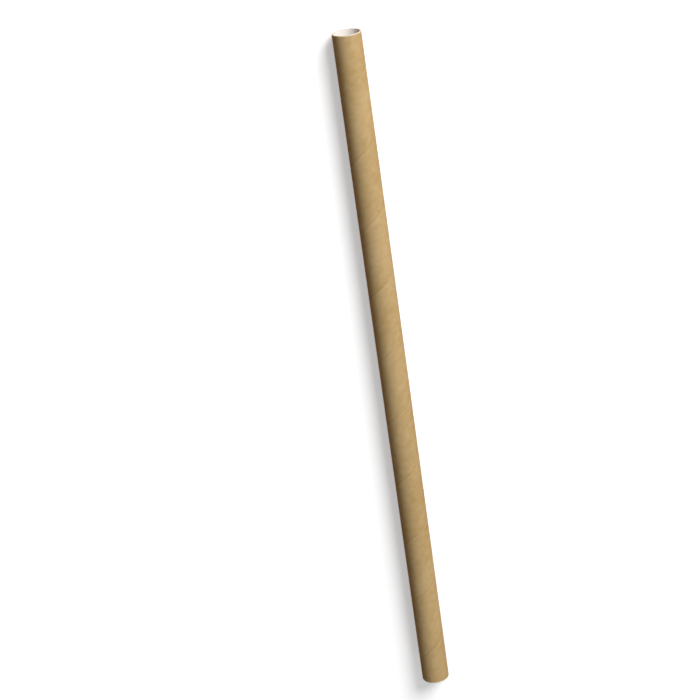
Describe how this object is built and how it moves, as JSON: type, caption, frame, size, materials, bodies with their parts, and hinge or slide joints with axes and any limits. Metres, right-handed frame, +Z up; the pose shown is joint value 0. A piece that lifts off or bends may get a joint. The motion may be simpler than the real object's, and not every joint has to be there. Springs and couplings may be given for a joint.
{
  "type": "paper drinking straw",
  "caption": "Straight round paper drinking straw, wound as a helix from brown kraft paper over white paper, open at both ends.",
  "frame": {"origin": "the middle of the faint flat, halfway along the straw, on which it lies on its side", "axes": "+Y along the straw's axis, +Z up, and the top line of the straw is at +Z"},
  "size_m": [0.008, 0.2, 0.0079],
  "materials": {
    "kraft_paper": "unbleached brown kraft paper, calendered smooth, matt, with a fine open seam that winds up the tube",
    "white_paper": "bleached white paper, matt and uncoated"
  },
  "bodies": {
    "root": {"outer_kraft_ply": "kraft_paper", "inner_white_ply": "white_paper"}
  },
  "joints": []
}
